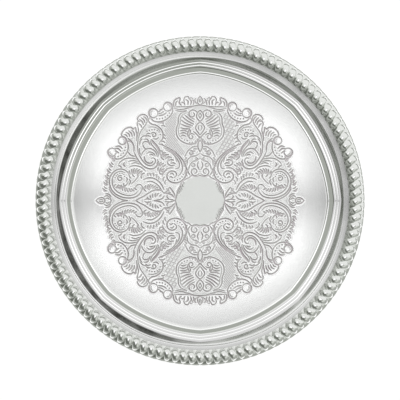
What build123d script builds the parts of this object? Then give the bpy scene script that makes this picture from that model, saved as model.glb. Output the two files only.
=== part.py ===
from build123d import *
import math
import os

# A round table salver, 305 mm across: a pressed sheet plate whose well has eight bowed sides, and a hollow
# struck border of slanted gadroons, which is made in four lengths, filled with solder and soldered on.
# The origin is on the axis at the underside of the well, on the surface that the salver stands on.

# Driving dimensions, in millimetres and degrees
overall_diameter = 305.0
sheet_thickness = 0.8
well_side_count = 8
side_flattening = 1.85  # how far the middle of a side lies inside the circle through its corners

# The plate's bands, from the well outwards: plan width and height
riser_width = 4.6
riser_height = 3.8
moulding_width = 7.4
moulding_height = 1.6
wall_width = 1.8  # least width of the steep wall, at the corners of the well
wall_height = 5.6
ledge_width = 5.6
bend_radius = 1.0  # inside radius of the press's bends
bend_steps = 3

# The border mount
border_length_count = 4
gadroons_per_length = 30
border_width = 14.4
border_wall = 0.8
border_foot_height = 0.5  # upright edge at the border's foot, inside and outside
border_dome_height = 3.6  # crown of the dome between the gadroons, above the flange
border_skirt_drop = 1.6  # how far the skirt laps down over the flange's edge
gadroon_slant = 27.0  # lean of a gadroon's long axis from the radius, seen from above
gadroon_gap = 0.35
gadroon_height = 5.2  # crown of a gadroon above the flange
gadroon_inner_land = 0.7  # plain metal between a gadroon's inner end and the border's foot
gadroon_outer_land = 0.7
gadroon_seat = 0.3  # height of a gadroon's widest level above the flange

# Derived sizes
outer_radius = overall_diameter / 2
border_inner_radius = outer_radius - border_width
flange_radius = outer_radius - border_wall
ledge_inner_radius = border_inner_radius - ledge_width
corner_half_angle = 180 / well_side_count

ledge_top = sheet_thickness + riser_height + moulding_height + wall_height
ledge_underside = ledge_top - sheet_thickness


# ---- The plate ----

# The moulding's outer edge is the plan outline that every band of the well is set in from. Its sides are
# arcs about eight side centres, so an outline that is set in keeps the centres and takes a smaller radius.
edge_corner_radius = ledge_inner_radius - wall_width
edge_side_distance = edge_corner_radius - side_flattening
half_chord = edge_corner_radius * math.sin(math.radians(corner_half_angle))
side_rise = edge_side_distance - edge_corner_radius * math.cos(math.radians(corner_half_angle))
edge_side_radius = (half_chord**2 + side_rise**2) / (2 * side_rise)
side_centre_distance = edge_side_radius - edge_side_distance
mean_wall_width = wall_width + side_flattening / 2


def polar(radius, degrees, height=0.0):
    angle = math.radians(degrees)
    return Vector(radius * math.cos(angle), radius * math.sin(angle), height)


def arc_outline(corner_radius, side_distance, height):
    """A closed outline of bowed sides, with a corner at angle zero."""
    sides = []
    for side in range(well_side_count):
        start = 2 * corner_half_angle * side
        sides.append(
            ThreePointArc(
                polar(corner_radius, start, height),
                polar(side_distance, start + corner_half_angle, height),
                polar(corner_radius, start + 2 * corner_half_angle, height),
            )
        )
    return Wire(sides)


def bowed_outline(outset, height):
    """The moulding's outer edge moved outwards by outset, all round."""
    side_radius = edge_side_radius + outset
    across = side_centre_distance * math.sin(math.radians(corner_half_angle))
    along = side_centre_distance * math.cos(math.radians(corner_half_angle))
    corner_radius = math.sqrt(side_radius**2 - across**2) - along
    return arc_outline(corner_radius, side_radius - side_centre_distance, height)


def round_outline(radius, height):
    return arc_outline(radius, radius, height)


def bent(section, radii):
    """A section's points with each inner corner replaced by a bend of the radius given for it."""
    points = [section[0]]
    for index, radius in enumerate(radii, start=1):
        before, corner, after = (Vector(*section[index + step]) for step in (-1, 0, 1))
        arriving = (corner - before).normalized()
        leaving = (after - corner).normalized()
        turn = math.radians(arriving.get_angle(leaving))
        setback = radius * math.tan(turn / 2)
        start = corner - arriving * setback
        inward = (leaving - arriving).normalized()
        centre = corner + inward * (radius / math.cos(turn / 2))
        spoke = start - centre
        side = 1 if arriving.cross(leaving).Z > 0 else -1
        for step in range(bend_steps + 1):
            swung = centre + spoke.rotate(Axis.Z, side * math.degrees(turn) * step / bend_steps)
            points.append((swung.X, swung.Y))
    points.append(section[-1])
    return points


def thinned(section, thickness):
    """The section moved square to itself by the sheet's thickness, downwards and outwards."""
    moved = []
    for before, corner, after in zip(section, section[1:], section[2:]):
        arriving = (Vector(*corner) - Vector(*before)).normalized()
        leaving = (Vector(*after) - Vector(*corner)).normalized()
        middle = (arriving + leaving).normalized()
        stretch = thickness / middle.dot(arriving)
        moved.append((corner[0] + middle.Y * stretch, corner[1] - middle.X * stretch))
    first = (section[0][0], section[0][1] - thickness)
    last = (section[-1][0], section[-1][1] - thickness)
    return [first] + moved + [last]


def band_outline(point):
    """The plan outline at a point of the section: bowed up to the moulding's edge, round from the ledge."""
    across, height = point
    if across < mean_wall_width / 2:
        return bowed_outline(across, height)
    return round_outline(ledge_inner_radius + across - mean_wall_width, height)


def basin(section):
    """The solid that fills the basin inside a section, band by band, from the first bend to the last."""
    solids = []
    for lower, upper in zip(section[1:], section[2:-1]):
        solids.append(Solid.make_loft([band_outline(lower), band_outline(upper)], ruled=True))
    return Part() + solids


# The section runs outwards from the level well floor. Zero is the moulding's outer edge.
riser_foot = -(moulding_width + riser_width)
upper_section = [
    (riser_foot - riser_width, sheet_thickness),
    (riser_foot, sheet_thickness),
    (-moulding_width, sheet_thickness + riser_height),
    (0.0, ledge_top - wall_height),
    (mean_wall_width, ledge_top),
    (mean_wall_width + ledge_width, ledge_top),
]
under_section = thinned(upper_section, sheet_thickness)
# A bend keeps one centre through the sheet, so the face on its outside has the larger radius.
hollow_bend = bend_radius
round_bend = bend_radius + sheet_thickness
upper_face = bent(upper_section, (hollow_bend, round_bend, hollow_bend, round_bend))
under_face = bent(under_section, (round_bend, hollow_bend, round_bend, hollow_bend))

flange = Pos(0, 0, ledge_underside) * Cylinder(
    flange_radius, sheet_thickness, align=(Align.CENTER, Align.CENTER, Align.MIN)
)
tray_plate = basin(under_face) + flange - basin(upper_face)


# ---- The border ----

border_middle_radius = outer_radius - border_width / 2
gadroon_count = gadroons_per_length * border_length_count
gadroon_pitch_angle = 360 / gadroon_count
gadroon_pitch = border_middle_radius * math.radians(gadroon_pitch_angle)
slant_cosine = math.cos(math.radians(gadroon_slant))
gadroon_width = gadroon_pitch * slant_cosine - gadroon_gap
gadroon_span = border_width - gadroon_inner_land - gadroon_outer_land
gadroon_length = gadroon_span / slant_cosine
gadroon_radius = border_inner_radius + gadroon_inner_land + gadroon_span / 2


def dome_face(inner_radius, outer_edge_radius, foot_height, crown_height):
    """Half section of a dome that stands on the flange, on the XZ plane."""
    foot = ledge_top + foot_height
    crown = (border_middle_radius, ledge_top + crown_height)
    outline = [
        Line((inner_radius, ledge_top), (inner_radius, foot)),
        ThreePointArc((inner_radius, foot), crown, (outer_edge_radius, foot)),
        Line((outer_edge_radius, foot), (outer_edge_radius, ledge_top)),
        Line((outer_edge_radius, ledge_top), (inner_radius, ledge_top)),
    ]
    return Plane.XZ * make_face(outline)


def length_wedge():
    """A prism over one length of the border, whose ends run along the gap between two gadroons."""
    reach = 2 * border_width  # well clear of the border on both sides
    gap_angle = -gadroon_pitch_angle / 2
    lean = Vector(slant_cosine, math.sin(math.radians(gadroon_slant)), 0).rotate(Axis.Z, gap_angle)
    start_inner = polar(gadroon_radius, gap_angle) - lean * reach
    start_outer = polar(gadroon_radius, gap_angle) + lean * reach
    turn = 360 / border_length_count
    end_inner = start_inner.rotate(Axis.Z, turn)
    end_outer = start_outer.rotate(Axis.Z, turn)
    far_corner = polar(2 * outer_radius, gap_angle + turn / 2)
    base = make_face(Polyline(start_inner, start_outer, far_corner, end_outer, end_inner, close=True))
    return extrude(base, amount=2 * ledge_top)


def gadroon():
    """The upper part of an egg-shaped boss, at angle zero, with its long axis slanted from the radius."""
    half_axes = (gadroon_length / 2, gadroon_width / 2, gadroon_height - gadroon_seat)
    egg = Rot(0, 0, gadroon_slant) * scale(Sphere(1), by=half_axes)
    egg = Pos(gadroon_radius, 0, ledge_top + gadroon_seat) * egg
    return split(egg, bisect_by=Plane.XY.offset(ledge_top), keep=Keep.TOP)


channel_inner_radius = border_inner_radius + border_wall
channel_crown = border_dome_height - border_wall
wedge = length_wedge()

dome = revolve(dome_face(border_inner_radius, outer_radius, border_foot_height, border_dome_height), Axis.Z)
skirt_block = Pos(0, 0, ledge_top - border_skirt_drop) * Cylinder(
    outer_radius, border_skirt_drop, align=(Align.CENTER, Align.CENTER, Align.MIN)
)
skirt_bore = Pos(0, 0, ledge_top - border_skirt_drop) * Cylinder(
    flange_radius, border_skirt_drop, align=(Align.CENTER, Align.CENTER, Align.MIN)
)
channel = revolve(dome_face(channel_inner_radius, flange_radius, border_foot_height, channel_crown), Axis.Z)

gadroons = [
    Rot(0, 0, gadroon_pitch_angle * index) * gadroon() for index in range(gadroons_per_length)
]
border_length = ((dome + (skirt_block - skirt_bore)) & wedge) + gadroons - channel
filling_length = channel & wedge


# ---- Writing the pieces ----

pieces = {"tray_plate": tray_plate}
for index in range(border_length_count):
    turned = Rot(0, 0, 360 / border_length_count * index)
    pieces[f"gadroon_border_{index + 1}"] = turned * border_length
    pieces[f"border_filling_{index + 1}"] = turned * filling_length

os.makedirs("parts", exist_ok=True)
for name, piece in pieces.items():
    export_step(piece, f"parts/{name}.step")
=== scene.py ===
import math

import bmesh
import bpy
import numpy as np
from mathutils import Matrix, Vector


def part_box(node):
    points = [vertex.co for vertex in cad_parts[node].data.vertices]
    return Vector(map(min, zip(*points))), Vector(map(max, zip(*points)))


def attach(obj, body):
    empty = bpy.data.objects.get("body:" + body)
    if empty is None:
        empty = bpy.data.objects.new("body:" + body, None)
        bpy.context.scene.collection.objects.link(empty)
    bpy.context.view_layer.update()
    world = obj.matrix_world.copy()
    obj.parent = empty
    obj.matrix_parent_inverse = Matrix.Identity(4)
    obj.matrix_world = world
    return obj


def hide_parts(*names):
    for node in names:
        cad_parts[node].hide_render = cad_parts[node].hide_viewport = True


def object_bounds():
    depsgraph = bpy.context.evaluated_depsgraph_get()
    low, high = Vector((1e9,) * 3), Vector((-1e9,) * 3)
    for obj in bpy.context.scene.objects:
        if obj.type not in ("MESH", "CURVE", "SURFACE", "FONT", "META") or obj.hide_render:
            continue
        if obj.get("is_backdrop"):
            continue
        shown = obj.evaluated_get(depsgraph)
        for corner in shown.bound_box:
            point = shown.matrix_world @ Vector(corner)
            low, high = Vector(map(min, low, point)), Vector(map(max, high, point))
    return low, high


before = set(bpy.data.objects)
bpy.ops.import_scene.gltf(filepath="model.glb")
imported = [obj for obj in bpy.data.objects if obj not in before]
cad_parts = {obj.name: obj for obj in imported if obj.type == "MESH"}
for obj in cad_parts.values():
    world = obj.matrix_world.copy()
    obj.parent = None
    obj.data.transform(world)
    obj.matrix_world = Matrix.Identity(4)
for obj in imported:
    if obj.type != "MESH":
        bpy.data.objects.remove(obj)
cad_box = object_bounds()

MM = 0.001


# ---- The camera, straight above the salver ----
# A long lens keeps the rim and the well in one scale. The salver sits a hair below the middle of the view.

view_width = 369.4 * MM
view_lens = 150.0
view_sensor = 36.0
view_drop = 0.76 * MM

camera_data = bpy.data.cameras.new("overhead_camera")
camera_data.lens = view_lens
camera_data.sensor_width = view_sensor
camera = bpy.data.objects.new("overhead_camera", camera_data)
bpy.context.scene.collection.objects.link(camera)
camera.location = (0.0, view_drop, cad_box[1].z + view_width * view_lens / view_sensor)
bpy.context.scene.camera = camera
bpy.context.scene.view_settings.view_transform = "Standard"


# ---- The studio: a lit white table under a big soft tent ----
# The tent is white overhead and towards its four corners, greyer along its seams, and ends low down in a
# green-grey wall, which is what the polished slopes pick up. The lit table holds no shadow.

def math_node(tree, operation, first, second=None, third=None, clamp=False):
    """A Math node; each input is a number or another node's output socket."""
    node = tree.nodes.new("ShaderNodeMath")
    node.operation = operation
    node.use_clamp = clamp
    for index, value in enumerate((first, second, third)):
        if isinstance(value, bpy.types.NodeSocket):
            tree.links.new(value, node.inputs[index])
        elif value is not None:
            node.inputs[index].default_value = value
    return node.outputs[0]


def ramp_node(tree, factor, stops):
    """A colour ramp with (place, colour) stops."""
    node = tree.nodes.new("ShaderNodeValToRGB")
    ramp = node.color_ramp
    ramp.elements[0].position = stops[0][0]
    ramp.elements[1].position = stops[-1][0]
    for place, _ in stops[1:-1]:
        ramp.elements.new(place)
    for element, (_, colour) in zip(ramp.elements, stops):
        element.color = (*colour, 1.0)
    tree.links.new(factor, node.inputs["Fac"])
    return node.outputs["Color"]


def mix_colour(tree, factor, first, second, blend="MIX"):
    """A colour Mix node; factor and colours are values or sockets."""
    node = tree.nodes.new("ShaderNodeMix")
    node.data_type = "RGBA"
    node.blend_type = blend
    for socket, value in ((node.inputs[0], factor), (node.inputs[6], first), (node.inputs[7], second)):
        if isinstance(value, bpy.types.NodeSocket):
            tree.links.new(value, socket)
        elif isinstance(value, tuple):
            socket.default_value = (*value, 1.0)
        else:
            socket.default_value = value
    return node.outputs[2]


def white(strength, green=0.0, violet=0.0):
    """A near-white light of a strength, leaning to green or to violet."""
    return (strength * (1 - green - 0.3 * violet), strength * (1 - violet), strength * (1 - 2 * green))


def tent_stops(stops):
    """Ramp stops from degrees down from the zenith."""
    return [(degrees / 180, white(*light)) for degrees, *light in stops]


world = bpy.data.worlds.new("soft_tent")
bpy.context.scene.world = world
world.use_nodes = True
tent = world.node_tree
tent.nodes.clear()
direction = tent.nodes.new("ShaderNodeTexCoord").outputs["Generated"]
axes = tent.nodes.new("ShaderNodeSeparateXYZ")
tent.links.new(direction, axes.inputs[0])
east, north, up = axes.outputs
from_zenith = math_node(tent, "DIVIDE", math_node(tent, "ARCCOSINE", up), math.pi)
bearing = math_node(tent, "ARCTAN2", north, east)
# The tent by bearing: narrow dull seams east and west, widest light about thirty degrees off them, and a
# softer fall towards north and south.
off_level = math_node(tent, "ABSOLUTE", math_node(tent, "SINE", bearing))
corner_shares = [(0.0, 0.0), (0.03, 0.28), (0.07, 0.44), (0.14, 0.62), (0.21, 0.74), (0.40, 1.0), (0.56, 1.0),
                 (0.76, 0.86), (0.92, 0.76), (1.0, 0.74)]
corner_weight = ramp_node(tent, off_level, [(place, (share, share, share)) for place, share in corner_shares])
corner_tent = ramp_node(tent, from_zenith, tent_stops([
    (0, 0.91), (4.0, 0.89), (4.8, 0.74), (6.0, 0.74), (7.0, 1.0), (9, 1.0), (16, 1.0), (19, 0.74, 0, 0.03),
    (26, 0.76, 0.01), (36, 0.72, 0.03), (50, 0.62, 0.03), (66, 0.36, 0.04), (71, 0.40, 0.04),
    (86, 0.42, 0.035), (89, 0.20, 0.05), (100, 0.16, 0.05)]))
seam_tent = ramp_node(tent, from_zenith, tent_stops([
    (0, 0.66), (3, 0.46), (4.8, 0.36), (8, 0.12), (16, 0.12), (19, 0.55, 0, 0.03), (26, 0.62, 0.01),
    (36, 0.62, 0.03), (50, 0.54, 0.03), (66, 0.34, 0.04), (71, 0.36, 0.04), (86, 0.38, 0.035),
    (89, 0.18, 0.05), (100, 0.14, 0.05)]))
tent_colour = mix_colour(tent, corner_weight, seam_tent, corner_tent)
# The corners are lamps, brighter than the cloth.
lamp = ramp_node(tent, from_zenith, tent_stops([
    (0, 0.0), (6.2, 0.0), (8, 0.9), (15.5, 1.0), (18, 0.0), (90, 0.0)]))
lamp = mix_colour(tent, corner_weight, (0.0, 0.0, 0.0), lamp)
tent_colour = mix_colour(tent, 0.45, tent_colour, lamp, "ADD")


def tent_patch(tree, colour, patch_bearing, width, low, high, light):
    """A cloth of another shade round a bearing, fading at its sides, between two heights in degrees from the
    zenith."""
    toward = math_node(tree, "COSINE", math_node(tree, "SUBTRACT", bearing, math.radians(patch_bearing)))
    toward = math_node(tree, "SUBTRACT", toward, math.cos(math.radians(width)))
    toward = math_node(tree, "MULTIPLY", toward, 4.0, clamp=True)
    band = math_node(tree, "COMPARE", from_zenith, (low + high) / 360, (high - low) / 360)
    return mix_colour(tree, math_node(tree, "MULTIPLY", toward, band), colour, white(*light))


# A bright window in the north-east, a shelf high up in the south-east, a low doorway, and the room's dark
# side in the south-west.
tent_colour = tent_patch(tent, tent_colour, 65, 82, 25, 75, (0.82, 0.01))
tent_colour = tent_patch(tent, tent_colour, 300, 52, 18, 34, (0.36, 0.04))
tent_colour = tent_patch(tent, tent_colour, 22, 66, 87, 100, (0.08, 0.05))
tent_colour = tent_patch(tent, tent_colour, 225, 66, 26, 66, (0.155, 0.06))
seen_directly = tent.nodes.new("ShaderNodeLightPath").outputs["Is Camera Ray"]
backdrop_colour = mix_colour(tent, seen_directly, tent_colour, (1.0, 1.0, 1.0))
tent_light = tent.nodes.new("ShaderNodeBackground")
tent.links.new(backdrop_colour, tent_light.inputs["Color"])
tent_output = tent.nodes.new("ShaderNodeOutputWorld")
tent.links.new(tent_light.outputs[0], tent_output.inputs["Surface"])

table_size = 8.0
table_gap = 0.1 * MM
table_mesh = bmesh.new()
bmesh.ops.create_grid(table_mesh, x_segments=1, y_segments=1, size=table_size / 2,
                      matrix=Matrix.Translation((0, 0, -table_gap)))
table_data = bpy.data.meshes.new("lit_table")
table_mesh.to_mesh(table_data)
table_mesh.free()
table = bpy.data.objects.new("lit_table", table_data)
bpy.context.scene.collection.objects.link(table)
table_paint = bpy.data.materials.new("lit_white_acrylic")
table_paint.use_nodes = True
acrylic = table_paint.node_tree.nodes["Principled BSDF"]
acrylic.inputs["Base Color"].default_value = (0.20, 0.20, 0.20, 1.0)
acrylic.inputs["Roughness"].default_value = 0.6
acrylic.inputs["Specular IOR Level"].default_value = 0.1
acrylic.inputs["Emission Color"].default_value = (1.0, 1.0, 1.0, 1.0)
acrylic.inputs["Emission Strength"].default_value = 0.92
table_data.materials.append(table_paint)
table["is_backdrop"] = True


# ---- The plate's rim ----
# The outer part of one pressed sheet: plain floor, riser, reeded moulding, steep wall, ledge and the flange
# under the border. The well's outline is eight bowed arcs. The metal is bright silver plate.

plate_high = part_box("tray_plate")[1] / MM
sheet = 0.8
riser_width, riser_height = 4.6, 3.8
moulding_width, moulding_height = 7.4, 1.6
wall_width, ledge_width, border_width = 1.8, 5.6, 14.4
side_flattening = 1.85
side_count = 8
corner_pull = 1.0     # how much further the four corners on the axes stand out than the others
border_wall = 0.8
field_radius = 99.5  # where the engraved middle of the well meets this piece
rim_steps = 512

flange_radius = plate_high.x
ledge_top = plate_high.z
outer_radius = flange_radius + border_wall
border_inner_radius = outer_radius - border_width
ledge_inner_radius = border_inner_radius - ledge_width
edge_corner = ledge_inner_radius - wall_width
edge_side = edge_corner - side_flattening
half_side = math.pi / side_count
side_rise = edge_side - edge_corner * math.cos(half_side)
side_radius = ((edge_corner * math.sin(half_side)) ** 2 + side_rise**2) / (2 * side_rise)
side_centre = side_radius - edge_side
mean_wall = wall_width + side_flattening / 2


def bowed_radius(bearing, outset):
    """Distance from the axis to the bowed outline, moved outwards by outset, at a bearing."""
    from_middle = (bearing % (2 * half_side)) - half_side
    across = side_centre * np.sin(from_middle)
    pulled = corner_pull * (0.5 + 0.5 * np.cos(4 * bearing))
    return np.sqrt((side_radius + outset) ** 2 - across**2) - side_centre * np.cos(from_middle) + pulled


def bent_section(points, radii, spacings):
    """A section's points with round bends at its inner corners; each straight run has its own spacing."""
    path = [(np.array(points[0], float), spacings[0])]
    for index, radius in enumerate(radii, start=1):
        before, corner, after = (np.array(points[index + step], float) for step in (-1, 0, 1))
        arriving = (corner - before) / np.linalg.norm(corner - before)
        leaving = (after - corner) / np.linalg.norm(after - corner)
        turn = math.acos(np.clip(arriving @ leaving, -1, 1))
        side = 1 if arriving[0] * leaving[1] - arriving[1] * leaving[0] > 0 else -1
        start = corner - arriving * radius * math.tan(turn / 2)
        centre = start + side * radius * np.array((-arriving[1], arriving[0]))
        steps = max(4, round(turn / math.radians(9)))
        spoke = start - centre
        for step in range(steps + 1):
            swing = side * turn * step / steps
            spun = (spoke[0] * math.cos(swing) - spoke[1] * math.sin(swing),
                    spoke[0] * math.sin(swing) + spoke[1] * math.cos(swing))
            path.append((centre + np.array(spun), spacings[index] if step == steps else radius))
    path.append((np.array(points[-1], float), 1))
    filled = [path[0][0]]
    for (first, spacing), (last, _) in zip(path, path[1:]):
        pieces = max(1, round(np.linalg.norm(last - first) / spacing))
        filled += [first + (last - first) * step / pieces for step in range(1, pieces + 1)]
    return filled


def thinned_section(points, thickness):
    """The section's corner points moved square to themselves by the sheet's thickness."""
    points = [np.array(point, float) for point in points]
    moved = [points[0] - (0, thickness)]
    for before, corner, after in zip(points, points[1:], points[2:]):
        arriving = (corner - before) / np.linalg.norm(corner - before)
        leaving = (after - corner) / np.linalg.norm(after - corner)
        middle = (arriving + leaving) / np.linalg.norm(arriving + leaving)
        moved.append(corner + np.array((middle[1], -middle[0])) * thickness / (middle @ arriving))
    return moved + [points[-1] - (0, thickness)]


def rolled_piece(name, columns, rows, place):
    """A closed mesh rolled up from a flat grid. place() takes each point's column and row number and
    returns its place in millimetres and the marks to keep on it, by name."""
    rolled = bmesh.new()
    bmesh.ops.create_grid(rolled, x_segments=columns, y_segments=rows, size=0.5)
    data = bpy.data.meshes.new(name)
    rolled.to_mesh(data)
    flat = np.empty(len(data.vertices) * 3)
    data.vertices.foreach_get("co", flat)
    grid_place = np.rint((flat.reshape(-1, 3)[:, :2] + 0.5) * (columns, rows)).astype(int)
    points, marks = place(grid_place[:, 0], grid_place[:, 1])
    data.vertices.foreach_set("co", (points * MM).ravel())
    for mark, values in marks.items():
        data.attributes.new(mark, "FLOAT", "POINT").data.foreach_set("value", values)
    rolled.clear()
    rolled.from_mesh(data)
    border_points = [point for point in rolled.verts if point.is_boundary]
    bmesh.ops.remove_doubles(rolled, verts=border_points, dist=0.002 * MM)
    return rolled, data


def finish_mesh(rolled, data, sharp_angle=50):
    """Closes the ends, points the faces outwards and makes a linked object with smooth faces."""
    bmesh.ops.holes_fill(rolled, edges=[edge for edge in rolled.edges if edge.is_boundary])
    bmesh.ops.recalc_face_normals(rolled, faces=rolled.faces)
    rolled.to_mesh(data)
    rolled.free()
    data.shade_smooth()
    data.set_sharp_from_angle(angle=math.radians(sharp_angle))
    piece = bpy.data.objects.new(data.name, data)
    bpy.context.scene.collection.objects.link(piece)
    return piece


riser_foot = -(moulding_width + riser_width)
step_height = 0.4     # a small crisp step at the foot of the riser
step_foot = riser_foot - 0.75
step_edge = riser_foot - 0.05
slope_start = riser_foot + 1.1
slope_start_height = step_height + 0.12
flange_end = mean_wall + ledge_width + border_width - border_wall
upper_corners = [
    (field_radius - edge_corner, sheet),
    (step_foot, sheet),
    (step_edge, sheet + step_height),
    (slope_start, sheet + slope_start_height),
    (-moulding_width, sheet + riser_height),
    (0.0, sheet + riser_height + moulding_height),
    (mean_wall, ledge_top),
    (mean_wall + ledge_width, ledge_top),
    (flange_end, ledge_top),
]
# From the floor outwards: the radius of each bend, and how far apart the points lie between bends.
upper_bends = (0.2, 0.25, 0.35, 2.4, 0.7, 1.5, 0.1)
upper_spacings = (1.0, 0.2, 0.3, 0.4, 0.19, 0.3, 0.22, 2.5)
upper_run = bent_section(upper_corners, upper_bends, upper_spacings)
# The underside has no step: its riser rises straight from the foot.
under_corners = [corner for number, corner in enumerate(upper_corners) if number not in (1, 3)]
under_corners[1] = (riser_foot, sheet)
under_bends = (1.8, 0.7, 1.7, 0.7, 0.1)
under_spacings = (4, 2, 2, 2, 2, 4)
under_run = bent_section(thinned_section(under_corners, sheet), under_bends, under_spacings)
# Fine raised (+) and sunk (-) lines along the upper face: place, half width and height of each.
reeds = [(-4.9, 0.60, -0.045), (-2.3, 0.56, -0.045), (5.0, 0.42, -0.16)]
section = []
for across, height in upper_run:
    lift = sum(rise * math.exp(-(((across - spot) / width) ** 2)) for spot, width, rise in reeds)
    section.append((across, height + lift))
section = np.array(section + [tuple(point) for point in reversed(under_run)])

bow_end = edge_corner + riser_foot - 3    # from here inwards the floor turns from bowed to round
lathe_margin = 1.2                        # the turned floor stops this far inside the riser's foot
wall_shade_bearing = math.radians(200)          # the side where the painted shade on the wall is heaviest
ledge_shade_bearing = math.radians(30)           # the side where the painted shade on the ledge is heaviest


def rim_place(step, number):
    """The plate's rim: the flat floor turns from round to bowed between the engraved middle and the riser."""
    bearing_of = 2 * math.pi * step / rim_steps
    number = number % len(section)
    across = section[number, 0]
    laid_radius = edge_corner + across
    bow_share = np.clip((laid_radius - field_radius) / (bow_end - field_radius), 0, 1)
    bow_share = bow_share**2 * (3 - 2 * bow_share)
    well = laid_radius * (1 - bow_share) + bowed_radius(bearing_of, across) * bow_share
    wall_share = np.clip(across / mean_wall, 0, 1)
    wall = bowed_radius(bearing_of, 0) * (1 - wall_share) + ledge_inner_radius * wall_share
    ledge = ledge_inner_radius + across - mean_wall
    radius = np.where(across <= 0, well, np.where(across < mean_wall, wall, ledge))
    points = np.column_stack((radius * np.cos(bearing_of), radius * np.sin(bearing_of), section[number, 1]))
    on_floor = (across < riser_foot - lathe_margin) & (number < len(upper_run))
    # Painted shade: a near-black skin darkens the steep wall, most on one side, the ledge's outer corner and
    # the underside. The ledge itself gets a thin painted shade, heavier on one side.
    toward_shade_side = np.clip(np.cos(bearing_of - wall_shade_bearing) * 2.0 - 0.3, 0, 1)
    spread = np.minimum(across + 0.5 + 0.7 * toward_shade_side, mean_wall + 1.0 * toward_shade_side - across)
    painted_shade = np.clip(spread / 0.8, 0, 1) * (0.38 + 0.60 * toward_shade_side)
    ledge_shade = 0.09 + 0.46 * np.clip(np.cos(bearing_of - ledge_shade_bearing) * 1.6 - 0.7, 0, 1)
    painted_shade += np.interp(across, (mean_wall - 0.4, mean_wall + 0.6), (0, 1)) * ledge_shade
    painted_shade += np.interp(across, (mean_wall + ledge_width - 1.3, mean_wall + ledge_width - 0.2), (0, 0.15))
    painted_shade = np.where(number < len(upper_run), painted_shade, 0.3)
    return points, {"on_floor": on_floor.astype(float), "recess": painted_shade}


# Shared surface effects: each is a node group, so every silver piece wears the same way.

def effect_group(name, inputs, outputs):
    """An empty shader node group with the sockets named in inputs and outputs."""
    group = bpy.data.node_groups.new(name, "ShaderNodeTree")
    for direction_name, sockets in (("INPUT", inputs), ("OUTPUT", outputs)):
        for socket_name, kind in sockets.items():
            group.interface.new_socket(socket_name, in_out=direction_name, socket_type="NodeSocket" + kind)
    return group, group.nodes.new("NodeGroupInput"), group.nodes.new("NodeGroupOutput")


def noise_node(tree, place, scale, detail=3.0, roughness=0.5):
    """A Noise Texture's value at a place."""
    node = tree.nodes.new("ShaderNodeTexNoise")
    node.inputs["Scale"].default_value = scale
    node.inputs["Detail"].default_value = detail
    node.inputs["Roughness"].default_value = roughness
    tree.links.new(place, node.inputs["Vector"])
    return node.outputs["Fac"]


def fitted(tree, value, low, high, new_low, new_high):
    """A Map Range node, held inside its new limits."""
    node = tree.nodes.new("ShaderNodeMapRange")
    tree.links.new(value, node.inputs[0])
    for socket, limit in zip(list(node.inputs)[1:5], (low, high, new_low, new_high)):
        socket.default_value = limit
    return node.outputs[0]


# Handling: soft smudges and hair-fine scratches left by years of wiping.
handling, taken, given = effect_group(
    "handling_marks", {"Place": "Vector"}, {"Smudge": "Float", "Scratch": "Float", "Normal": "Vector"})
smudge = noise_node(handling, taken.outputs["Place"], 34.0, 4.0, 0.6)
handling.links.new(fitted(handling, smudge, 0.42, 0.72, 0.0, 1.0), given.inputs["Smudge"])
turned = handling.nodes.new("ShaderNodeMapping")
turned.inputs["Rotation"].default_value = (0.0, 0.0, 0.6)
turned.inputs["Scale"].default_value = (1.0, 26.0, 1.0)
handling.links.new(taken.outputs["Place"], turned.inputs["Vector"])
scratch = noise_node(handling, turned.outputs[0], 90.0, 2.0)
handling.links.new(fitted(handling, scratch, 0.66, 0.74, 0.0, 1.0), given.inputs["Scratch"])
scored = handling.nodes.new("ShaderNodeBump")
scored.invert = True
scored.inputs["Strength"].default_value = 0.02
scored.inputs["Distance"].default_value = 0.02 * MM
handling.links.new(scratch, scored.inputs["Height"])
handling.links.new(scored.outputs[0], given.inputs["Normal"])

# Tarnish and painted shade: a darker skin where a mark says, thicker in some places than others. It is
# tarnish in the engraved grooves and painted shade on the rim and the border.
tarnish_and_shade, taken, given = effect_group(
    "tarnish_and_painted_shade", {"Clean": "Color", "Skin": "Color", "Recess": "Float", "Place": "Vector"},
    {"Color": "Color", "Amount": "Float"})
patches = fitted(tarnish_and_shade, noise_node(tarnish_and_shade, taken.outputs["Place"], 60.0, 3.0), 0.3, 0.7, 0.75, 1.1)
amount = math_node(tarnish_and_shade, "MULTIPLY", taken.outputs["Recess"], patches, clamp=True)
tarnish_and_shade.links.new(amount, given.inputs["Amount"])
tarnish_and_shade.links.new(mix_colour(tarnish_and_shade, amount, taken.outputs["Clean"], taken.outputs["Skin"]),
                  given.inputs["Color"])


# Turning: the concentric lines of a spun and lathe-polished floor, as a fine ripple of the normal.
turning_lines, taken, given = effect_group(
    "turning_lines", {"Place": "Vector", "Normal": "Vector", "Slope": "Float"}, {"Normal": "Vector"})


def vector_node(tree, operation, *inputs):
    """A Vector Math node; inputs are vectors, or output sockets."""
    node = tree.nodes.new("ShaderNodeVectorMath")
    node.operation = operation
    for socket, value in zip(node.inputs, inputs):
        if isinstance(value, bpy.types.NodeSocket):
            tree.links.new(value, socket)
        else:
            socket.default_value = value
    return node


level_place = vector_node(turning_lines, "MULTIPLY", taken.outputs["Place"], (1.0, 1.0, 0.0)).outputs[0]
from_axis = vector_node(turning_lines, "LENGTH", level_place).outputs["Value"]
outward_way = vector_node(turning_lines, "NORMALIZE", level_place).outputs[0]
line_pitch = 0.45 * MM
ripple = math_node(turning_lines, "MULTIPLY", from_axis, 2 * math.pi / line_pitch)
ripple = math_node(turning_lines, "SINE", ripple)
tipped = vector_node(turning_lines, "SCALE", outward_way)
slope = math_node(turning_lines, "MULTIPLY", ripple, taken.outputs["Slope"])
turning_lines.links.new(slope, tipped.inputs["Scale"])
tipped = vector_node(turning_lines, "ADD", taken.outputs["Normal"], tipped.outputs[0]).outputs[0]
turning_lines.links.new(vector_node(turning_lines, "NORMALIZE", tipped).outputs[0], given.inputs["Normal"])


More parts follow.
